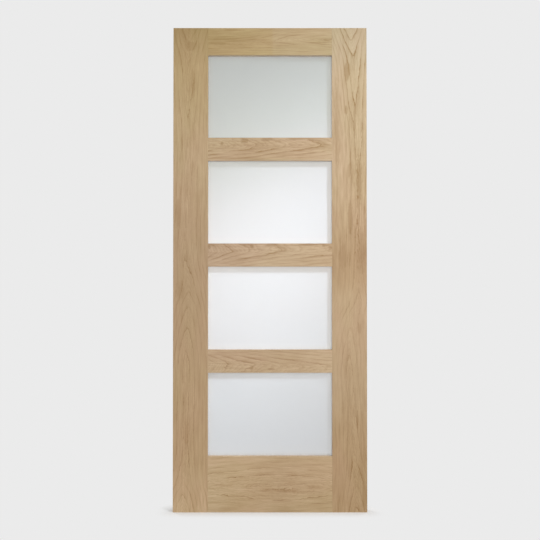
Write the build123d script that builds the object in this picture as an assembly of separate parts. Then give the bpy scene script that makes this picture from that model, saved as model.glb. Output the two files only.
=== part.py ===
# Glazed interior door leaf in oak, with four equal lights one above the other.
# All sizes are in millimetres.
#
# The leaf stands along +Z with its front face towards -Y. The origin is at the foot of the
# hinge edge, at half the thickness, so X runs across the leaf to the lock edge.
#
# Each member (a stile or a rail) is an engineered core, a solid oak lipping on both long
# edges, and an oak veneer on both faces. The lipping beside a light carries a lip at the
# front. The glass lies against that lip, and loose mitred beads hold it from behind. The
# rebate for glass and beads runs the whole height of the stiles, so the ends of the rails
# are scribed over the stiles' lips: they are stepped, and longer behind than in front.

import os

from build123d import *

# The leaf
leaf_width = 813.0
leaf_height = 2032.0
leaf_thickness = 35.0

# The members, as the front face shows them
stile_width = 146.0
top_rail_height = 115.0
mid_rail_height = 97.0
bottom_rail_height = 234.0
light_count = 4

# The build-up of a member
veneer_thickness = 0.6
veneer_arris = 0.4
edge_lipping_width = 8.0
light_lipping_width = 10.0

# The glazing
glass_thickness = 4.0
glass_edge_clearance = 2.0
rebate_width = 10.0
bead_setback = 1.0
bead_arris_radius = 1.5

# Planes across the thickness, from the front face to the back face
front_face = -leaf_thickness / 2
front_core = front_face + veneer_thickness
glass_front = -glass_thickness / 2
glass_back = glass_thickness / 2
back_core = leaf_thickness / 2 - veneer_thickness
back_face = leaf_thickness / 2
bead_back = back_face - bead_setback

# The sight size of a light, and where the rebate starts on each side of it
sight_left = stile_width
sight_right = leaf_width - stile_width
light_width = sight_right - sight_left
rails_height = top_rail_height + bottom_rail_height + (light_count - 1) * mid_rail_height
light_height = (leaf_height - rails_height) / light_count
rebate_left = sight_left - rebate_width
rebate_right = sight_right + rebate_width
bead_depth = bead_back - glass_back


def block(x_from, x_to, y_from, y_to, z_from, z_to):
    """A plain rectangular piece between six planes."""
    piece = Box(x_to - x_from, y_to - y_from, z_to - z_from, align=Align.MIN)
    return Pos(x_from, y_from, z_from) * piece


def mirrored(piece):
    """The same piece on the other side of the leaf's upright centre plane."""
    return mirror(piece, about=Plane.YZ.offset(leaf_width / 2))


def eased(veneer, grain, sign):
    """A veneer with its long outer edges eased. sign is -1 for the front face and 1 for the back."""
    along_y = veneer.edges().filter_by(grain).group_by(Axis.Y)
    return chamfer(along_y[0] if sign < 0 else along_y[-1], length=veneer_arris)


def lipping_section(lip_edge, rebate_edge, core_edge):
    """Corners, as (across, thickness), of a lipping with a lip in front and a rebate behind."""
    return [
        (core_edge, front_core),
        (lip_edge, front_core),
        (lip_edge, glass_front),
        (rebate_edge, glass_front),
        (rebate_edge, back_core),
        (core_edge, back_core),
    ]


# Stiles: the left one is modelled, and the right one is its mirror image.


def stile_pieces():
    """The pieces of the left stile by name, each as tall as the leaf."""
    core_from = edge_lipping_width
    core_to = rebate_left - light_lipping_width
    section = lipping_section(sight_left, rebate_left, core_to)
    light_lipping = extrude(make_face(Polyline(section, close=True)), amount=leaf_height)
    front_veneer = block(0, sight_left, front_face, front_core, 0, leaf_height)
    back_veneer = block(0, rebate_left, back_core, back_face, 0, leaf_height)
    return {
        "core": block(core_from, core_to, front_core, back_core, 0, leaf_height),
        "edge_lipping": block(0, edge_lipping_width, front_core, back_core, 0, leaf_height),
        "light_lipping": light_lipping,
        "front_veneer": eased(front_veneer, Axis.Z, -1),
        "back_veneer": eased(back_veneer, Axis.Z, 1),
    }


# Rails: each is cut to the width between the stiles' rebates, then scribed over the stiles' lips.

stile_lip = block(rebate_left, sight_left, front_face, glass_front, 0, leaf_height)
stile_lips = [stile_lip, mirrored(stile_lip)]


def scribed(piece):
    """The piece with both ends cut back in front, where they meet the lips of the stiles."""
    return piece - stile_lips


def rail_block(y_from, y_to, z_from, z_to):
    """A plain strip of a rail, scribed to the stiles."""
    return scribed(block(rebate_left, rebate_right, y_from, y_to, z_from, z_to))


def rail_light_lipping(lip_edge, direction):
    """The lipping beside a light. direction is 1 for a rail above the light and -1 below it."""
    rebate_edge = lip_edge + direction * rebate_width
    core_edge = rebate_edge + direction * light_lipping_width
    section = lipping_section(lip_edge, rebate_edge, core_edge)
    outline = Polyline([(rebate_left, y, z) for z, y in section], close=True)
    return scribed(extrude(make_face(outline), amount=rebate_right - rebate_left, dir=(1, 0, 0)))


def rail_pieces(bottom, top):
    """The pieces of a rail by name, with a lip on each edge that a light meets."""
    light_below = bottom > 0
    light_above = top < leaf_height
    lippings = []
    if light_below:
        lippings.append(rail_light_lipping(bottom, 1))
        core_bottom = bottom + rebate_width + light_lipping_width
        back_bottom = bottom + rebate_width
    else:
        core_bottom = bottom + edge_lipping_width
        back_bottom = bottom
        lippings.append(rail_block(front_core, back_core, bottom, core_bottom))
    if light_above:
        lippings.append(rail_light_lipping(top, -1))
        core_top = top - rebate_width - light_lipping_width
        back_top = top - rebate_width
    else:
        core_top = top - edge_lipping_width
        back_top = top
        lippings.append(rail_block(front_core, back_core, core_top, top))
    front_veneer = block(rebate_left, rebate_right, front_face, front_core, bottom, top)
    back_veneer = block(rebate_left, rebate_right, back_core, back_face, back_bottom, back_top)
    return {
        "core": rail_block(front_core, back_core, core_bottom, core_top),
        "lippings": Compound(children=lippings),
        "front_veneer": scribed(eased(front_veneer, Axis.X, -1)),
        "back_veneer": scribed(eased(back_veneer, Axis.X, 1)),
    }


# Glazing: one pane and four mitred beads to each light.


def glass_pane(centre_height):
    """One pane, smaller than its rebate by the clearance on every edge."""
    reach = rebate_width - glass_edge_clearance
    pane = Box(light_width + 2 * reach, glass_thickness, light_height + 2 * reach)
    return Pos(leaf_width / 2, 0, centre_height) * pane


def bead(sight_length, sight_offset):
    """The bead below the centre of a light, mitred at both ends and rounded at its back edge."""
    half = sight_length / 2
    foot = sight_offset + rebate_width
    corners = [
        (-half, glass_back, -sight_offset),
        (half, glass_back, -sight_offset),
        (half + rebate_width, glass_back, -foot),
        (-half - rebate_width, glass_back, -foot),
    ]
    strip = extrude(make_face(Polyline(corners, close=True)), amount=bead_depth, dir=(0, 1, 0))
    sight_arris = strip.edges().filter_by(Axis.X).group_by(Axis.Y)[-1].sort_by(Axis.Z)[-1]
    return fillet(sight_arris, radius=bead_arris_radius)


def bead_pair(sight_length, sight_offset, turn, centre_height):
    """Two beads on opposite sides of a light, turned about its centre."""
    one = bead(sight_length, sight_offset)
    centre = Pos(leaf_width / 2, 0, centre_height)
    return Compound(children=[centre * Rot(0, turn + half_turn, 0) * one for half_turn in (0, 180)])


# The whole leaf, as named pieces

pieces = {}

for name, piece in stile_pieces().items():
    pieces[f"left_stile_{name}"] = piece
    pieces[f"right_stile_{name}"] = mirrored(piece)

rails = {"top_rail": (leaf_height - top_rail_height, leaf_height)}
light_top = leaf_height - top_rail_height
for number in range(1, light_count + 1):
    light_bottom = light_top - light_height
    centre_height = (light_top + light_bottom) / 2
    pieces[f"glass_{number}"] = glass_pane(centre_height)
    pieces[f"beads_{number}_horizontal"] = bead_pair(light_width, light_height / 2, 0, centre_height)
    pieces[f"beads_{number}_vertical"] = bead_pair(light_height, light_width / 2, 90, centre_height)
    if number < light_count:
        rails[f"mid_rail_{number}"] = (light_bottom - mid_rail_height, light_bottom)
        light_top = light_bottom - mid_rail_height
rails["bottom_rail"] = (0.0, bottom_rail_height)

for rail, (bottom, top) in rails.items():
    for name, piece in rail_pieces(bottom, top).items():
        pieces[f"{rail}_{name}"] = piece

os.makedirs("parts", exist_ok=True)
for name, piece in pieces.items():
    export_step(piece, f"parts/{name}.step")
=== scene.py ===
from math import radians

import bmesh
import bpy
from mathutils import Matrix, Vector


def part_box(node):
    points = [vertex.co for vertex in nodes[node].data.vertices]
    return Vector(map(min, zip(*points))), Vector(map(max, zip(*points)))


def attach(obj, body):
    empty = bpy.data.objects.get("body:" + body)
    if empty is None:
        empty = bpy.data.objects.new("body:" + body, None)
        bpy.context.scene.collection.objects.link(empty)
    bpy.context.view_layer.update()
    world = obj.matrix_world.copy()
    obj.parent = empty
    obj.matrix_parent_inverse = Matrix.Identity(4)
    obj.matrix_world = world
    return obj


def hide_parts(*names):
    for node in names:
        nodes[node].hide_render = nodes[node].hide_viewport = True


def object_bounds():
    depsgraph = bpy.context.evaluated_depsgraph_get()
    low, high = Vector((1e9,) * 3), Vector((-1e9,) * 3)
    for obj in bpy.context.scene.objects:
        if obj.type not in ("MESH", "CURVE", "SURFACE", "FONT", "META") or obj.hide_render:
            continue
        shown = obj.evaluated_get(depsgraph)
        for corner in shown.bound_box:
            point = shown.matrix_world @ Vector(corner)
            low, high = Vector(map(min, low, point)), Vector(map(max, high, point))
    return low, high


# Glazed oak door leaf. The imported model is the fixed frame: the leaf stands on z = 0, its front face
# looks towards -Y, and its hinge edge lies on x = 0. All lengths are in metres.

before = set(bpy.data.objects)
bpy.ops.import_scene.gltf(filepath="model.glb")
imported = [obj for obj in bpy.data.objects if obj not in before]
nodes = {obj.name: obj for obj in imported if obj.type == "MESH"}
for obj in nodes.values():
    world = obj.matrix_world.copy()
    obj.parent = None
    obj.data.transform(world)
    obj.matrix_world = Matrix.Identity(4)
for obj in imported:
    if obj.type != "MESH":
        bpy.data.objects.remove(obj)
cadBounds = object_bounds()
leafLow, leafHigh = Vector(cadBounds[0]), Vector(cadBounds[1])
leafMiddle = (leafLow + leafHigh) / 2
frontFace = leafLow.y
scene = bpy.context.scene
print("frame loaded:", len(nodes), "nodes, leaf", [round(v, 4) for v in leafHigh - leafLow])


class Wire:  # a socket that can stand in a Python sum
    def __init__(self, tree, socket=None):
        self.tree = tree
        self.socket = socket

    def node(self, kind, settings=None, sockets=None, out=0):  # out is an output's name or number
        made = self.tree.nodes.new(kind)
        for name, value in (settings or {}).items():
            if name == "stops":  # a ramp's stops, each (place, colour)
                ramp = made.color_ramp.elements
                while len(ramp) < len(value):
                    ramp.new(1.0)
                for stop, (place, colour) in zip(ramp, value):
                    stop.position = place
                    stop.color = colour
            elif name == "points":  # a curve's points, each (in, out)
                curve = made.mapping.curves[0].points
                while len(curve) < len(value):
                    curve.new(1.0, 1.0)
                for point, spot in zip(curve, value):
                    point.location = spot
                made.mapping.update()
            else:
                setattr(made, name, value)
        for name, value in (sockets or {}).items():
            if isinstance(value, Wire):
                self.tree.links.new(value.socket, made.inputs[name])
            else:
                made.inputs[name].default_value = value
        return Wire(self.tree, made.outputs[out] if made.outputs else None)

    def sum(self, operation, *values, clamp=False):
        settings = {"operation": operation, "use_clamp": clamp}
        return self.node("ShaderNodeMath", settings, dict(enumerate(values)))

    def __add__(self, other):
        return self.sum("ADD", self, other)

    def __radd__(self, other):
        return self.sum("ADD", other, self)

    def __sub__(self, other):
        return self.sum("SUBTRACT", self, other)

    def __rsub__(self, other):
        return self.sum("SUBTRACT", other, self)

    def __mul__(self, other):
        return self.sum("MULTIPLY", self, other)

    def __rmul__(self, other):
        return self.sum("MULTIPLY", other, self)

    def __truediv__(self, other):
        return self.sum("DIVIDE", self, other)

    def __pow__(self, other):
        return self.sum("POWER", self, other)

    def atLeast(self, least):
        return self.sum("MAXIMUM", self, least)

    def isOver(self, limit):  # 1 where it is, and 0 elsewhere
        return self.sum("GREATER_THAN", self, limit)

    def size(self):  # without its sign
        return self.sum("ABSOLUTE", self)

    def whole(self):  # the whole number below it
        return self.sum("FLOOR", self)

    def part(self):  # what is left above that
        return self.sum("FRACT", self)

    def clamped(self):  # between 0 and 1
        return self.sum("ADD", self, 0.0, clamp=True)

    def blend(self, start, end):  # 0 at start, 1 at end, eased between
        settings = {"interpolation_type": "SMOOTHSTEP"}
        sockets = {"Value": self, "From Min": start, "From Max": end}
        return self.node("ShaderNodeMapRange", settings, sockets)

    # The Mix node's colours are its inputs 6 and 7 and its output 2
    def mix(self, first, second):  # two colours, by this value
        return self.node("ShaderNodeMix", {"data_type": "RGBA"}, {0: self, 6: first, 7: second}, out=2)

    def tinted(self, tint):  # this colour times another
        settings = {"data_type": "RGBA", "blend_type": "MULTIPLY"}
        return self.node("ShaderNodeMix", settings, {0: 1.0, 6: self, 7: tint}, out=2)


def newMaterial(name):
    material = bpy.data.materials.new(name)
    material.use_nodes = True
    material.node_tree.nodes.clear()
    return material, Wire(material.node_tree)


def finishMaterial(wire, shader):
    wire.node("ShaderNodeOutputMaterial", None, {"Surface": shader})


def grey(level):
    return (level, level, level, 1)


def objectAxes(wire, axes="XYZ"):  # the place on the piece in metres, as one value for each axis
    place = wire.node("ShaderNodeTexCoord", out="Object")
    return [wire.node("ShaderNodeSeparateXYZ", None, {0: place}, out=axis) for axis in axes]


def noise(wire, across, depth, along, detail=2.0, roughness=0.5):  # about 0, and mostly under 0.3
    place = wire.node("ShaderNodeCombineXYZ", None, {"X": across, "Y": depth, "Z": along})
    sockets = {"Vector": place, "Scale": 1.0, "Detail": detail, "Roughness": roughness}
    return wire.node("ShaderNodeTexNoise", None, sockets) - 0.5


def profile(wire, along, pairs):  # a smooth curve through (place along the grain, value)
    start, end = pairs[0][0], pairs[-1][0]
    low = min(value for place, value in pairs)
    span = max(value for place, value in pairs) - low
    points = [((place - start) / (end - start), (value - low) / span) for place, value in pairs]
    sockets = {"Value": (along - start) / (end - start)}
    return wire.node("ShaderNodeFloatCurve", {"points": points}, sockets) * span + low


def varied(wire, along, value):  # a plain number, or pairs that change it along the grain
    return profile(wire, along, value) if isinstance(value, list) else value


# Tints along the grain: partly the wood's own tone, partly painted light and shade, as lighter or
# darker stretches and colour casts where the light falls
def toneAndPaintedLight(wire, along, pairs):  # colours along the grain, each (place, colour)
    start, end = pairs[0][0], pairs[-1][0]
    stops = [((place - start) / (end - start), (*colour, 1)) for place, colour in pairs]
    return wire.node("ShaderNodeValToRGB", {"stops": stops}, {0: (along - start) / (end - start)})


oakFinish = {
    "pale": (0.586, 0.439, 0.283, 1),  # late wood
    "dark": (0.286, 0.159, 0.054, 1),  # early wood, full of pores
    "pore": (0.210, 0.125, 0.060, 1),
    "endGrain": (0.300, 0.190, 0.100, 1),
    "green": (0.990, 1.006, 0.980, 1),  # the slow drift of hue over a face
    "pink": (1.010, 0.994, 1.012, 1),
    "ground": 0.31,  # how dark the wood is before its rings are drawn
    "line": 0.60,  # the sharp edge of a ring
    "lineStart": 0.0008,  # metres over which it sets in
    "lineFall": 1.5,  # the power by which it dies away
    "shadow": 0.24,  # the soft band that follows it
    "shadowFall": 2.2,
    "flank": (0.8, 2.4),  # rings from the crown between which they come to be cut on edge
    "flankCalm": 0.6,  # the share of their waver that is lost there
    "flankFade": 0.4,  # and the share of their soft bands
    "fewest": 3.0,  # rings to the metre
    "fine": 0.30,  # fine rings between the strong ones
    "finePerRing": 4.3,
    "fineStart": 0.15,  # the share of a fine ring over which it sets in
    "fineMean": 0.3,  # taken off, so that they don't darken the wood
    "cloud": 0.45,  # broad uneven tone
    "fibre": 0.46,  # fine streaks along the grain
    "streak": 0.68,  # wider ones
    "pores": 0.35,
    "poresBetween": 0.25,  # the share of them that late wood has too
    "markEdge": (0.3, 1.3),  # over which a mark fades: squares of its own half widths
    "markRagged": 2.0,
    "endOn": (0.85, 0.95),  # how squarely a face cuts the grain, where it turns to end grain
    "endDark": 0.45,  # the share of the end grain's own colour there
    "roughness": 0.46,
    "rougher": {"early": 0.06, "pores": 0.18, "fibre": 0.08, "end": 0.15},  # what adds to it
    "relief": {"early": -0.35, "pores": -1.0, "fibre": 0.25},  # what sinks in or stands out
    "specular": 0.35,
    "coatRoughness": 0.18,
    "bump": 0.12,
    "bumpDistance": 0.0004,
}

# The noises in the oak: cells to the metre across the grain, into the wood and along the grain, and
# their detail and roughness
oakNoises = {
    "wander": (11.0, 1.0, 4.0, 2.0, 0.5),  # slow bends of the rings
    "waver": (45.0, 1.0, 14.0, 2.0, 0.5),  # smaller ones
    "jag": (160.0, 1.0, 55.0, 2.0, 0.6),  # their ragged edges
    "patch": (20.0, 3.7, 11.0, 3.0, 0.5),  # where a ring is strong, with its number for the depth
    "cloud": (22.0, 1.0, 5.0, 4.0, 0.6),
    "fibre": (420.0, 40.0, 12.0, 3.0, 0.65),
    "streak": (150.0, 40.0, 11.0, 3.0, 0.6),
    "pores": (1900.0, 1900.0, 75.0, 1.0, 0.5),
    "hue": (9.0, 1.0, 3.0, 2.0, 0.5),
}

# Three of them are drawn from nothing to full between these values
oakSpans = {"patch": (-0.12, 0.14), "pores": (0.10, 0.22), "hue": (-0.15, 0.15)}

# What a figure says of its rings, where it gives no value of its own
plainFigure = {
    "slant": 0.0,  # how far the rings lean on their way into the wood
    "even": 0.25,  # how alike the rings are in strength
    "lineWidth": 0.006,  # metres
    "fade": 0.80,  # how much of a line is lost on the flanks
    "shade": 1.0,  # the soft bands behind the lines
    "coat": 0.0,  # glossy lacquer
    # the tints along the grain are partly painted light and shade, beside the wood's own tone
    "toneAndPaintedLight": [],  # places along the grain, each with a colour that tints the wood there
    "marks": [],  # dark flecks: across, along, half width, half length, depth
}


# A figure says how a veneer was cut. Its arches stand on the crown, a place across the grain that
# drifts along it. The rings list numbers them there: a whole number puts the point of an arch at that
# place. Spread is how far beside the crown one ring more is met, above or to the right of it and then
# below or to the left, and point is 2 for round arches and near 1 for sharp ones.
def oak(name, choice, finish=oakFinish):
    figure = {**plainFigure, **choice}
    material, wire = newMaterial(name)
    x, y, z = objectAxes(wire)
    upright = figure["grain"] == "z"
    along, place = (z, x) if upright else (x, z)
    seed = figure["seed"]
    depth = y + seed

    def grainNoise(kind, into):
        perMetre = oakNoises[kind]
        stretched = (place * perMetre[0], into * perMetre[1], along * perMetre[2] + seed)
        value = noise(wire, *stretched, *perMetre[3:])
        return value.blend(*oakSpans[kind]) if kind in oakSpans else value

    # where the rings run
    wander = grainNoise("wander", depth)
    waver = grainNoise("waver", depth)
    jag = grainNoise("jag", depth)
    side = place - profile(wire, along, figure["crown"]) + y * figure["slant"]
    over = side.isOver(0.0)  # which side of the crown it lies on
    narrow = over / figure["spread"][0] + (1.0 - over) / figure["spread"][1]
    reach = side.size() * narrow
    point = figure["point"]
    flank = reach.blend(*finish["flank"])  # 1 where the rings are cut on edge, straight and faint
    ring = reach ** point + profile(wire, along, figure["rings"]) + wander * figure["wander"]
    unrest = waver * figure["waver"] + jag * figure["jag"]
    ring = ring + unrest * (1.0 - flank * finish["flankCalm"])

    # rings to the metre, so that their lines are as thin at a point as on its flanks
    step = 0.01  # metres along the grain, for the rise
    across = reach ** (point - 1.0) * narrow * point
    rise = profile(wire, along + step, figure["rings"]) - profile(wire, along - step, figure["rings"])
    ahead = rise / (2 * step)
    rate = ((across * across + ahead * ahead) ** 0.5).atLeast(finish["fewest"])

    # how dark each ring is
    turn = ring.part()
    patch = grainNoise("patch", ring.whole())
    strength = patch * (1.0 - figure["even"]) + figure["even"]
    past = turn / rate  # metres from the ring's sharp edge
    line = (1.0 - past / figure["lineWidth"]).atLeast(0.0) ** finish["lineFall"]
    line = line * finish["line"] * strength * (1.0 - flank * figure["fade"])
    shadow = (1.0 - turn) ** finish["shadowFall"] * finish["shadow"] * patch
    shadow = shadow * (1.0 - flank * finish["flankFade"]) * figure["shade"]
    early = (line + shadow) * past.blend(0.0, finish["lineStart"])
    fineTurn = (ring * finish["finePerRing"]).part()
    fineLine = (1.0 - fineTurn) ** 2.0 * fineTurn.blend(0.0, finish["fineStart"])
    fine = (fineLine - finish["fineMean"]) * finish["fine"]

    # what lies between the rings
    cloud = grainNoise("cloud", depth)
    fibre = grainNoise("fibre", depth)
    streak = grainNoise("streak", depth)
    pores = grainNoise("pores", depth) * (finish["poresBetween"] + early)
    texture = fine + cloud * finish["cloud"] + fibre * finish["fibre"] + streak * finish["streak"]
    texture = texture * varied(wire, along, figure["texture"])

    darkness = early * varied(wire, along, figure["contrast"]) + texture + finish["ground"]
    colour = darkness.clamped().mix(finish["pale"], finish["dark"])
    colour = (pores * finish["pores"]).mix(colour, finish["pore"])
    for markPlace, markAlong, halfWidth, halfLength, markDepth in figure["marks"]:
        beside = ((place - markPlace) / halfWidth) ** 2.0
        beyond = ((along - markAlong) / halfLength) ** 2.0
        ragged = beside + beyond + jag * finish["markRagged"] + streak
        spot = 1.0 - ragged.blend(*finish["markEdge"])
        colour = (spot * markDepth).mix(colour, finish["dark"])
    hue = grainNoise("hue", seed)
    colour = colour.tinted(hue.mix(finish["green"], finish["pink"]))
    # painted light and shade along the member, mixed with the wood's own tone
    if figure["toneAndPaintedLight"]:
        colour = colour.tinted(toneAndPaintedLight(wire, along, figure["toneAndPaintedLight"]))

    # end grain drinks more lacquer and is darker
    normal = wire.node("ShaderNodeTexCoord", out="Normal")
    facing = wire.node("ShaderNodeSeparateXYZ", None, {0: normal}, out="Z" if upright else "X")
    endOn = facing.size().blend(*finish["endOn"])
    colour = (endOn * finish["endDark"]).mix(colour, finish["endGrain"])

    found = {"early": early, "pores": pores, "fibre": fibre, "end": endOn}
    rough = finish["roughness"]
    for kind, share in finish["rougher"].items():
        rough = rough + found[kind] * share
    height = 0.0
    for kind, share in finish["relief"].items():
        height = height + found[kind] * share
    bump = wire.node("ShaderNodeBump", None, {
        "Strength": finish["bump"], "Distance": finish["bumpDistance"], "Height": height})
    shader = wire.node("ShaderNodeBsdfPrincipled", None, {
        "Base Color": colour, "Roughness": rough, "Normal": bump,
        "Specular IOR Level": finish["specular"],
        "Coat Weight": figure["coat"], "Coat Roughness": finish["coatRoughness"]})
    finishMaterial(wire, shader)
    return material


def dress(nodeName, material):  # a CAD node keeps its shape and gets a better finish
    for slot in nodes[nodeName].material_slots:
        slot.material = material


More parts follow.
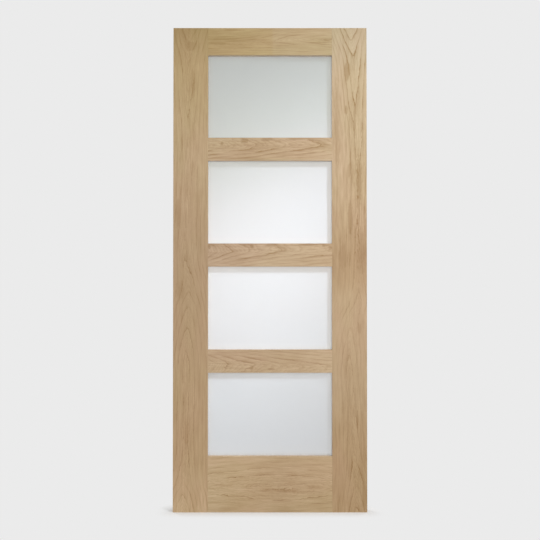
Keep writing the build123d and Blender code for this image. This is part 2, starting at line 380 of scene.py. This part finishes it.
# Veneers, each with the figure that shows in its own member, and tints along it that are partly the
# wood's own tone and partly painted light and shade
veneerFigures = {
    "left_stile": {
        "grain": "z", "seed": 3.1, "spread": (0.030, 0.030), "point": 1.4,
        "wander": 0.8, "waver": 0.35, "jag": 0.32, "fade": 0.50, "even": 0.55,
        "texture": [(0.0, 0.85), (0.55, 0.80), (0.75, 0.65), (0.95, 0.65), (1.10, 0.85), (2.032, 0.85)],
        "crown": [(0.0, 0.040), (0.115, 0.043), (0.28, 0.052), (0.66, 0.056), (0.912, 0.064),
                  (1.08, 0.050), (1.30, 0.056), (1.72, 0.062), (1.893, 0.063), (2.032, 0.071)],
        "rings": [(0.0, 0.1), (0.074, 1.0), (0.124, 2.0), (0.25, 2.7), (0.50, 2.8), (0.60, 2.8),
                  (0.67, 3.2), (0.76, 4.0), (0.855, 5.0), (0.922, 6.0), (1.00, 6.6), (1.075, 7.0),
                  (1.30, 7.4), (1.55, 7.3), (1.72, 6.8), (1.893, 6.0), (1.974, 5.0), (2.032, 4.2)],
        "contrast": [(0.0, 0.90), (0.20, 0.70), (0.50, 0.60), (0.70, 0.62), (0.92, 0.68), (1.10, 0.70),
                     (1.40, 0.55), (1.80, 0.60), (2.032, 0.70)],
        "toneAndPaintedLight": [(0.0, (1.22, 1.20, 1.17)), (0.20, (1.00, 0.94, 0.86)), (0.55, (0.91, 0.86, 0.76)),
                  (0.90, (0.838, 0.772, 0.688)), (1.07, (0.83, 0.77, 0.70)), (1.5, (0.93, 0.92, 0.86)),
                  (1.86, (0.88, 0.88, 0.74)), (2.032, (0.72, 0.70, 0.52))],
        "marks": [(0.070, 1.955, 0.026, 0.020, 0.25), (0.083, 1.800, 0.009, 0.070, 0.25),
                  (0.020, 1.250, 0.014, 0.065, 0.28), (0.056, 0.320, 0.008, 0.060, 0.30),
                  (0.028, 0.930, 0.020, 0.045, 0.18)]},
    "right_stile": {
        "grain": "z", "seed": 7.7, "spread": (0.029, 0.026), "point": 1.35,
        "wander": 0.6, "waver": 0.30, "jag": 0.34, "fade": 0.80, "even": 0.55,
        "lineWidth": 0.0055,
        "texture": [(0.0, 1.0), (0.45, 1.0), (0.65, 0.7), (0.92, 0.7), (1.10, 1.3), (1.45, 1.3),
                    (1.75, 0.8), (2.032, 0.7)],
        "crown": [(0.0, 0.768), (0.115, 0.766), (0.25, 0.757), (0.45, 0.747), (0.642, 0.739),
                  (0.75, 0.743), (0.85, 0.764), (0.912, 0.777), (1.20, 0.772), (1.50, 0.778),
                  (1.61, 0.776), (1.709, 0.766), (1.911, 0.757), (1.980, 0.748), (2.032, 0.745)],
        "rings": [(0.0, 0.8), (0.05, 1.3), (0.12, 2.0), (0.252, 3.0), (0.42, 3.6), (0.56, 3.7),
                  (0.642, 4.0), (0.70, 4.4), (0.778, 5.0), (0.916, 6.0), (1.02, 6.6), (1.25, 7.0),
                  (1.50, 6.8), (1.62, 6.5), (1.704, 6.0), (1.906, 5.0), (1.980, 4.0), (2.032, 3.0)],
        "contrast": [(0.0, 0.95), (0.25, 0.80), (0.45, 0.55), (0.65, 0.58), (0.92, 0.68), (1.10, 0.70),
                     (1.50, 0.85), (1.68, 1.45), (1.90, 1.40), (2.032, 1.55)],
        "toneAndPaintedLight": [(0.0, (0.99, 0.94, 0.84)), (0.25, (0.91, 0.83, 0.74)), (0.50, (0.92, 0.87, 0.82)),
                  (0.62, (0.95, 0.91, 0.86)), (0.9, (0.95, 0.91, 0.85)), (0.975, (0.865, 0.785, 0.69)),
                  (1.07, (0.81, 0.72, 0.61)), (1.3, (0.94, 0.92, 0.87)), (1.83, (0.96, 1.01, 1.03)),
                  (1.91, (0.935, 1.015, 1.06)), (2.032, (0.865, 0.94, 0.97))],
        "marks": [(0.7305, 1.848, 0.015, 0.040, 0.50), (0.780, 1.390, 0.012, 0.105, 0.45),
                  (0.744, 1.230, 0.012, 0.075, 0.40), (0.790, 1.090, 0.022, 0.090, 0.25),
                  (0.715, 1.070, 0.020, 0.060, 0.25), (0.686, 1.620, 0.010, 0.200, 0.25),
                  (0.726, 1.685, 0.008, 0.020, 0.40), (0.763, 1.645, 0.006, 0.075, 0.40),
                  (0.740, 1.430, 0.007, 0.035, 0.30), (0.772, 0.390, 0.005, 0.042, 0.40),
                  (0.781, 0.768, 0.010, 0.022, 0.22), (0.804, 0.070, 0.015, 0.070, 0.30)]},
    "top_rail": {
        "grain": "x", "seed": 12.4, "spread": (0.017, 0.017), "point": 1.4,
        "wander": 0.8, "waver": 0.4, "jag": 0.3, "texture": 0.95,
        "crown": [(0.146, 1.960), (0.30, 1.965), (0.42, 1.975), (0.53, 1.983), (0.667, 1.980)],
        "rings": [(0.146, 4.6), (0.30, 4.3), (0.40, 3.6), (0.43, 3.0), (0.5225, 2.0), (0.667, 1.0)],
        "contrast": 0.57,
        "toneAndPaintedLight": [(0.146, (0.80, 0.80, 0.61)), (0.412, (0.83, 0.84, 0.69)), (0.424, (0.86, 0.90, 0.81)),
                  (0.56, (0.87, 0.91, 0.84)), (0.667, (0.83, 0.87, 0.80))],
        "marks": [(1.9857, 0.219, 0.0035, 0.080, 0.35), (1.967, 0.193, 0.0050, 0.045, 0.30),
                  (2.023, 0.250, 0.0035, 0.050, 0.25), (1.971, 0.615, 0.0040, 0.050, 0.30)]},
    "mid_rail_1": {
        "grain": "x", "seed": 21.0, "spread": (0.060, 0.023), "point": 1.3,
        "wander": 0.7, "waver": 0.6, "jag": 0.30, "shade": 2.2, "fade": 0.6,
        "texture": 1.1, "lineWidth": 0.009, "even": 0.55,
        "crown": [(0.146, 1.530), (0.40, 1.534), (0.667, 1.536)],
        "rings": [(0.146, 1.5), (0.206, 2.0), (0.343, 3.0), (0.459, 4.0), (0.622, 5.0), (0.681, 5.3)],
        "contrast": 0.67,
        "toneAndPaintedLight": [(0.146, (0.98, 0.98, 0.98)), (0.36, (0.91, 0.90, 0.86)), (0.667, (0.99, 1.00, 1.01))],
        "marks": [(1.5560, 0.300, 0.011, 0.018, 0.50), (1.561, 0.392, 0.008, 0.022, 0.50),
                  (1.563, 0.512, 0.006, 0.040, 0.45), (1.545, 0.205, 0.010, 0.006, 0.50)]},
    "mid_rail_2": {
        "grain": "x", "seed": 26.5, "spread": (0.060, 0.023), "point": 1.3,
        "wander": 0.7, "waver": 0.6, "jag": 0.30, "shade": 2.2, "fade": 0.6,
        "texture": 1.1, "lineWidth": 0.009, "even": 0.55,
        "crown": [(0.146, 1.088), (0.40, 1.094), (0.667, 1.100)],
        "rings": [(0.146, 1.3), (0.18, 2.0), (0.235, 3.0), (0.338, 4.0), (0.47, 5.0), (0.667, 6.1)],
        "contrast": 0.62,
        "toneAndPaintedLight": [(0.146, (0.90, 0.87, 0.86)), (0.30, (0.95, 0.93, 0.92)), (0.667, (0.99, 0.95, 0.94))],
        "marks": [(1.1130, 0.330, 0.012, 0.008, 0.50), (1.117, 0.412, 0.007, 0.020, 0.50),
                  (1.119, 0.565, 0.005, 0.040, 0.45), (1.112, 0.151, 0.013, 0.007, 0.50)]},
    "mid_rail_3": {
        "grain": "x", "seed": 33.0, "spread": (0.023, 0.060), "point": 1.3,
        "wander": 0.7, "waver": 0.6, "jag": 0.30, "shade": 2.0, "fade": 0.6,
        "texture": 1.0, "lineWidth": 0.009, "even": 0.50,
        "crown": [(0.146, 0.620), (0.40, 0.615), (0.667, 0.608)],
        "rings": [(0.146, 1.3), (0.18, 2.0), (0.235, 3.0), (0.338, 4.0), (0.47, 5.0), (0.667, 6.1)],
        "contrast": 0.57,
        "toneAndPaintedLight": [(0.146, (0.99, 0.96, 0.94)), (0.45, (0.98, 0.94, 0.92)), (0.667, (1.05, 1.03, 1.04))],
        "marks": [(0.6035, 0.330, 0.009, 0.007, 0.40), (0.598, 0.412, 0.005, 0.018, 0.40)]},
    "bottom_rail": {
        "grain": "x", "seed": 41.3, "spread": (0.045, 0.045), "point": 1.5,
        "wander": 1.1, "waver": 0.55, "jag": 0.35, "texture": 0.95, "lineWidth": 0.005,
        "crown": [(0.146, 0.100), (0.42, 0.107), (0.667, 0.103)],
        "rings": [(0.146, 2.7), (0.30, 2.1), (0.42, 1.7), (0.54, 2.0), (0.667, 2.6)],
        "contrast": 0.90,
        "toneAndPaintedLight": [(0.146, (1.15, 1.15, 1.13)), (0.30, (1.13, 1.12, 1.08)), (0.45, (1.03, 1.01, 0.95)),
                  (0.667, (1.07, 1.05, 0.99))]},
}

for member, figure in veneerFigures.items():
    dress(member + "_front_veneer", oak("oak_" + member + "_front", figure))
    back = dict(figure, seed=figure["seed"] + 50.0, marks=[])
    dress(member + "_back_veneer", oak("oak_" + member + "_back", back))

# Solid oak: the lippings and the beads are cut straight along the grain
solidFigure = {"spread": (0.0042, 0.0042), "point": 1.0, "slant": 0.6, "wander": 1.6, "waver": 0.5,
               "jag": 0.2, "contrast": 0.7, "texture": 0.8, "lineWidth": 0.002, "coat": 1.0}
solidUpright = oak("oak_solid_upright", dict(
    solidFigure, grain="z", seed=61.0, crown=[(0.0, -0.020), (1.0, -0.024), (2.032, -0.018)],
    rings=[(0.0, 1.0), (2.032, 2.0)]))
solidLevel = oak("oak_solid_level", dict(
    solidFigure, grain="x", seed=67.0, crown=[(0.0, -0.020), (0.4, -0.022), (0.813, -0.019)],
    rings=[(0.0, 1.0), (0.813, 2.0)]))

# The cores are glued up from staves. They show only at the ends of the stiles, as bare end grain
coreFinish = {
    "stave": 0.0295,  # width of a stave
    "glue": 0.012,  # a glue line's share of that
    "ring": 0.0028,  # width of a yearly ring
    "heart": (0.09, 0.12),  # how far aside and below a stave the middle of its rings may lie, in all
    "pale": (0.600, 0.450, 0.275, 1),
    "dark": (0.430, 0.290, 0.150, 1),
    "glueLine": (0.250, 0.165, 0.085, 1),
    "ground": 0.10,  # how dark the wood is before its rings are drawn
    "late": 0.55,  # the dark side of a ring
    "uneven": 0.30,  # between one stave and the next
    "grain": 0.35,
    "grainCells": (900.0, 900.0, 20.0),  # to the metre, along X, Y and Z
    "wobble": 0.6,  # of a ring
    "wobbleCells": (60.0, 60.0, 9.0),
    "roughness": 0.75,
    "specular": 0.25,
    "bump": 0.3,
    "bumpDistance": 0.0003,
}


def coreTimber(finish=coreFinish):
    material, wire = newMaterial("core_staves")
    x, y, z = objectAxes(wire)
    coreEdge = leafHigh.x - leafMiddle.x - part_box("left_stile_edge_lipping")[1][0]
    place = (coreEdge - (x - leafMiddle.x).size()) / finish["stave"]  # staves from the core's edge
    stave = place.whole()
    across = place.part() - 0.5

    def chance(draw):  # one value for each stave
        seed = stave + draw * 7.3
        return wire.node("ShaderNodeTexWhiteNoise", {"noise_dimensions": "1D"}, {"W": seed})

    def cells(counts):
        return noise(wire, x * counts[0], y * counts[1], z * counts[2])

    aside = across * finish["stave"] + (chance(0) - 0.5) * finish["heart"][0]
    below = y + (chance(1) - 0.5) * finish["heart"][1]
    wobble = cells(finish["wobbleCells"]) * finish["wobble"]
    ring = (aside * aside + below * below) ** 0.5 / finish["ring"] + wobble
    grain = cells(finish["grainCells"])
    darkness = ring.part() ** 2.0 * finish["late"] + chance(2) * finish["uneven"]
    darkness = (darkness + grain * finish["grain"] + finish["ground"]).clamped()
    glued = across.size().blend(0.5 - finish["glue"], 0.5)
    colour = glued.mix(darkness.mix(finish["pale"], finish["dark"]), finish["glueLine"])
    bump = wire.node("ShaderNodeBump", None, {
        "Strength": finish["bump"], "Distance": finish["bumpDistance"], "Height": grain})
    shader = wire.node("ShaderNodeBsdfPrincipled", None, {
        "Base Color": colour, "Roughness": finish["roughness"], "Normal": bump,
        "Specular IOR Level": finish["specular"]})
    finishMaterial(wire, shader)
    return material


core = coreTimber()
for name in nodes:
    if name.endswith("_lipping"):
        dress(name, solidUpright)
    elif name.endswith("_lippings"):
        dress(name, solidLevel)
    elif name.endswith("_core"):
        dress(name, core)
print("oak dressed")


# Loose beads behind the glass, mitred at the corners, with every arris taken off
beadShape = {
    "sightRadius": 0.0015,  # the rounded edge that faces the light
    "arris": 0.0003,  # the other edges
    "mitreGap": 0.00008,  # half the hairline between two beads
    "roundSegments": 5,
    "arrisSegments": 2,
    "sharp": 40,  # degrees from which an edge gets an arris
    "smooth": 35,  # degrees up to which two faces are shaded as one
}


# The bevel can list its faces in another order on the next run, so a bead's items are sorted
def sortItems(items, key):
    rank = {item: place for place, item in enumerate(sorted(items, key=key))}
    items.sort(key=rank.get)
    items.index_update()


# The bead below the middle of a light, which lies at halfReach from it
def makeBead(halfSight, halfReach, width, yFrom, yTo):
    bm = bmesh.new()
    bmesh.ops.create_cube(bm, size=1.0)
    bmesh.ops.scale(bm, verts=bm.verts, vec=(2 * (halfSight + width), yTo - yFrom, width))
    middle = Vector((0, (yFrom + yTo) / 2, -halfReach - width / 2))
    bmesh.ops.translate(bm, verts=bm.verts, vec=middle)
    for way in (-1, 1):
        corner = Vector((way * (halfSight - beadShape["mitreGap"]), 0, -halfReach))
        cut = bmesh.ops.bisect_plane(bm, geom=bm.verts[:] + bm.edges[:] + bm.faces[:], plane_co=corner,
                                     plane_no=(way, 0, 1), clear_outer=True)
        rim = [item for item in cut["geom_cut"] if isinstance(item, bmesh.types.BMEdge)]
        bmesh.ops.edgeloop_fill(bm, edges=rim)

    def facesLight(edge):  # the long edge of the back face that lies beside the light
        places = [vert.co for vert in edge.verts]
        return all(abs(place.y - yTo) + abs(place.z + halfReach) < 1e-6 for place in places)

    sight = [edge for edge in bm.edges if facesLight(edge)]
    bmesh.ops.bevel(bm, geom=sight, offset=beadShape["sightRadius"], affect="EDGES",
                    segments=beadShape["roundSegments"], profile=0.5, material=-1)
    sharp = [edge for edge in bm.edges if edge.calc_face_angle(0.0) > radians(beadShape["sharp"])]
    bmesh.ops.bevel(bm, geom=sharp, offset=beadShape["arris"], affect="EDGES",
                    segments=beadShape["arrisSegments"], profile=0.5, material=-1)
    bmesh.ops.recalc_face_normals(bm, faces=bm.faces)
    sortItems(bm.verts, lambda vert: vert.co[:])
    for items in (bm.edges, bm.faces):
        sortItems(items, lambda item: sorted(vert.index for vert in item.verts))
    return bm


def makeBeadPair(number, direction):
    nodeName = f"beads_{number}_{direction}"
    low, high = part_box(nodeName)
    middle = (Vector(low) + Vector(high)) / 2
    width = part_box("left_stile_light_lipping")[1][0] - low[0]  # of a bead, which ends with the lip
    halfX, halfZ = (high[0] - low[0]) / 2 - width, (high[2] - low[2]) / 2 - width
    level = direction == "horizontal"
    halfSight, halfReach = (halfX, halfZ) if level else (halfZ, halfX)
    mesh = bpy.data.meshes.new(nodeName)
    pair = bmesh.new()
    for turn in ((0, 180) if level else (90, 270)):
        bm = makeBead(halfSight, halfReach, width, low[1], high[1])
        bmesh.ops.rotate(bm, verts=bm.verts, matrix=Matrix.Rotation(radians(turn), 3, "Y"))
        bmesh.ops.translate(bm, verts=bm.verts, vec=(middle.x, 0, middle.z))
        bm.to_mesh(mesh)
        bm.free()
        pair.from_mesh(mesh)
    pair.to_mesh(mesh)
    pair.free()
    mesh.shade_smooth()
    mesh.set_sharp_from_angle(angle=radians(beadShape["smooth"]))
    mesh.materials.append(solidLevel if level else solidUpright)
    piece = bpy.data.objects.new(f"bead_pair_{number}_{direction}", mesh)
    scene.collection.objects.link(piece)
    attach(piece, "root")
    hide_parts(nodeName)


lightCount = sum(name.startswith("glass_") for name in nodes)
for number in range(1, lightCount + 1):
    for direction in ("horizontal", "vertical"):
        makeBeadPair(number, direction)
print("beads made:", 2 * lightCount, "pairs")


# Satin glass lets half of the light through and scatters the rest like a pale surface
glassFinish = {
    "colour": (0.92, 0.925, 0.925, 1),
    "transmission": 0.52,
    "roughness": 0.30,
    "uneven": 0.06,  # of the roughness
    "ior": 1.45,
    "grain": 900.0,  # cells to the metre
    "bump": 0.05,
    "bumpDistance": 0.0002,
}


def satinGlass(finish=glassFinish):
    material, wire = newMaterial("glass_satin")
    place = wire.node("ShaderNodeTexCoord", out="Object")
    grain = wire.node("ShaderNodeTexNoise", None, {
        "Vector": place, "Scale": finish["grain"], "Detail": 2.0})
    bump = wire.node("ShaderNodeBump", None, {
        "Strength": finish["bump"], "Distance": finish["bumpDistance"], "Height": grain})
    shader = wire.node("ShaderNodeBsdfPrincipled", None, {
        "Base Color": finish["colour"],
        "Roughness": finish["roughness"] + (grain - 0.5) * finish["uneven"],
        "Transmission Weight": finish["transmission"], "IOR": finish["ior"], "Normal": bump})
    finishMaterial(wire, shader)
    return material


panes = [name for name in nodes if name.startswith("glass_")]
glass = satinGlass()
for name in panes:
    dress(name, glass)
print("glass dressed:", len(panes), "panes")


# The camera stands before the middle of the leaf and sees it as the photograph does
cameraView = {
    "distance": 2.6,  # from the leaf's front face
    "height": 0.9855,
    "tilt": 0.60,  # degrees upwards
    "leafPixels": 484.4,  # the leaf's height in the frame
    "framePixels": 540,
    "sensor": 36,  # millimetres
}


def makeCamera():
    camera = bpy.data.objects.new("camera", bpy.data.cameras.new("camera"))
    scene.collection.objects.link(camera)
    camera.location = (leafMiddle.x, frontFace - cameraView["distance"], cameraView["height"])
    camera.rotation_euler = (radians(90 + cameraView["tilt"]), 0, 0)
    focalPixels = cameraView["leafPixels"] / (leafHigh.z - leafLow.z) * cameraView["distance"]
    camera.data.sensor_width = cameraView["sensor"]
    camera.data.lens = cameraView["sensor"] * focalPixels / cameraView["framePixels"]
    scene.camera = camera
    print("camera lens", round(camera.data.lens, 2))


makeCamera()

# Soft lamps before and behind the leaf, and the pale ground that it stands on
studio = {
    "background": 0.831,  # the even pale grey behind the leaf
    "ambient": 0.38,  # what that background lights with
    "key": {"place": (2.10, -1.60, 2.80), "aim": (0.45, 0.0, 1.10), "size": 0.60, "power": 40},
    "fill": {"place": (0.50, -3.3, 0.95), "aim": (0.4, 0.0, 0.95), "size": 2.0, "power": 49},
    "rearLeft": {"place": (-2.2, 2.2, 1.3), "aim": (0.4, 0.0, 1.0), "size": 1.6, "power": 56},
    "rearRight": {"place": (3.2, 2.4, 1.5), "aim": (0.4, 0.0, 1.0), "size": 1.6, "power": 38},
    "floorSize": 12.0,
    "floorColour": 0.88,
    "floorBounce": 0.35,  # the floor's colour for the light that it throws back
    "shadowFade": (0.0, 0.085),  # the floor's shadow fades out between these distances
}


def hang(lamp, settings):  # at its place, turned to what it aims at
    body = bpy.data.objects.new(lamp.name, lamp)
    scene.collection.objects.link(body)
    body.location = settings["place"]
    direction = Vector(settings["aim"]) - body.location
    body.rotation_euler = direction.to_track_quat("-Z", "Y").to_euler()
    body.visible_transmission = False  # no hot spot where it is seen through the glass
    return body


def softbox(name, settings):
    lamp = bpy.data.lights.new(name, "AREA")
    lamp.shape = "DISK"
    lamp.size = settings["size"]
    lamp.energy = settings["power"]
    return hang(lamp, settings)


lamps = {name: softbox(name, studio[name]) for name in ("key", "fill", "rearLeft", "rearRight")}


def linkLamp(lampBody, state, names):  # the lamp reaches these nodes alone, or all but these
    group = bpy.data.collections.new(lampBody.name + "_group")
    for name in names:
        group.objects.link(nodes[name])
    for link in group.collection_objects:
        link.light_linking.link_state = state
    lampBody.light_linking.receiver_collection = group


linkLamp(lamps["key"], "EXCLUDE", panes)

# A lamp of its own reaches only the glass and the lips around it, so that their shadows show on it
paneLamp = {"place": (3.75, -2.57, 5.32), "aim": (0.385, 0.0, 0.94), "cone": 11.2, "radius": 0.36,
            "power": 1600, "colour": (0.87, 1.00, 1.18)}
lips = [name for name in nodes if name.endswith(("light_lipping", "_lippings"))]


def makePaneLamp():
    lamp = bpy.data.lights.new("pane_lamp", "SPOT")
    lamp.spot_size = radians(paneLamp["cone"])
    lamp.spot_blend = 1.0
    lamp.shadow_soft_size = paneLamp["radius"]
    lamp.energy = paneLamp["power"]
    lamp.color = paneLamp["colour"]
    linkLamp(hang(lamp, paneLamp), "INCLUDE", panes + lips)


makePaneLamp()
print("lamps hung:", 1 + len(lamps))


def makeWorld():  # the pale background where it is seen, and a dimmer one for what it lights
    world = bpy.data.worlds.new("studio")
    world.use_nodes = True
    world.node_tree.nodes.clear()
    wire = Wire(world.node_tree)
    seen = wire.node("ShaderNodeLightPath", out="Is Camera Ray")
    for ray in ("Is Glossy Ray", "Is Transmission Ray"):
        seen = seen.atLeast(wire.node("ShaderNodeLightPath", out=ray))
    colour = seen.mix(grey(studio["ambient"]), grey(studio["background"]))
    backdrop = wire.node("ShaderNodeBackground", None, {"Color": colour, "Strength": 1.0})
    wire.node("ShaderNodeOutputWorld", None, {"Surface": backdrop})
    scene.world = world


makeWorld()


def makeSheet(name, width, height, turn, middle, material):  # turned about X by so many degrees
    bm = bmesh.new()
    bmesh.ops.create_grid(bm, x_segments=1, y_segments=1, size=0.5)
    bmesh.ops.scale(bm, verts=bm.verts, vec=(width, height, 1))
    bmesh.ops.rotate(bm, verts=bm.verts, matrix=Matrix.Rotation(radians(turn), 3, "X"))
    bmesh.ops.translate(bm, verts=bm.verts, vec=middle)
    mesh = bpy.data.meshes.new(name)
    bm.to_mesh(mesh)
    bm.free()
    mesh.materials.append(material)
    sheet = bpy.data.objects.new(name, mesh)
    scene.collection.objects.link(sheet)
    return sheet


def makeFloor():
    material, wire = newMaterial("floor_pale")
    x, y = objectAxes(wire, "XY")
    beside = ((x - leafMiddle.x).size() - (leafHigh.x - leafLow.x) / 2).atLeast(0.0)
    away = (beside * beside + y * y) ** 0.5  # distance on the floor from the leaf's foot
    looked = wire.node("ShaderNodeLightPath", out="Is Camera Ray")
    plain = looked * away.blend(*studio["shadowFade"])
    diffuse = wire.node("ShaderNodeBsdfPrincipled", None, {
        "Base Color": looked.mix(grey(studio["floorBounce"]), grey(studio["floorColour"])),
        "Roughness": 0.9, "Specular IOR Level": 0.1})
    even = wire.node("ShaderNodeEmission", None, {"Color": grey(studio["background"]), "Strength": 1.0})
    finishMaterial(wire, wire.node("ShaderNodeMixShader", None, {0: plain, 1: diffuse, 2: even}))
    across = studio["floorSize"]
    makeSheet("floor", across, across, 0, (leafMiddle.x, 0, 0), material)


makeFloor()

# A tall glow behind the leaf that only the glass looks through to
glow = {
    "distance": 0.45,  # behind the leaf's middle
    "size": (1.6, 2.6),  # width and height
    "tilt": 0.42,  # its bands rise towards the lock edge by this much a metre
    "stops": [  # from the floor up: place, colour
        (0.00, (0.67, 0.69, 0.73, 1)),
        (0.20, (0.53, 0.51, 0.48, 1)),
        (0.30, (0.49, 0.39, 0.31, 1)),
        (0.53, (0.82, 0.73, 0.65, 1)),
        (0.66, (0.595, 0.635, 0.47, 1)),
        (0.80, (0.37, 0.43, 0.36, 1)),
    ],
}


def makeGlow():
    material, wire = newMaterial("glow_card")
    x, z = objectAxes(wire, "XZ")
    width, height = glow["size"]
    level = (z - (x - leafMiddle.x) * glow["tilt"]) / height
    ramp = wire.node("ShaderNodeValToRGB", {"stops": glow["stops"]}, {0: level})
    finishMaterial(wire, wire.node("ShaderNodeEmission", None, {"Color": ramp, "Strength": 1.0}))
    card = makeSheet("glow", width, height, 90, (leafMiddle.x, glow["distance"], height / 2), material)
    card.visible_camera = False
    card.visible_diffuse = False
    card.visible_glossy = False
    card.visible_shadow = False


makeGlow()

scene.view_settings.view_transform = "Standard"
print("studio ready")
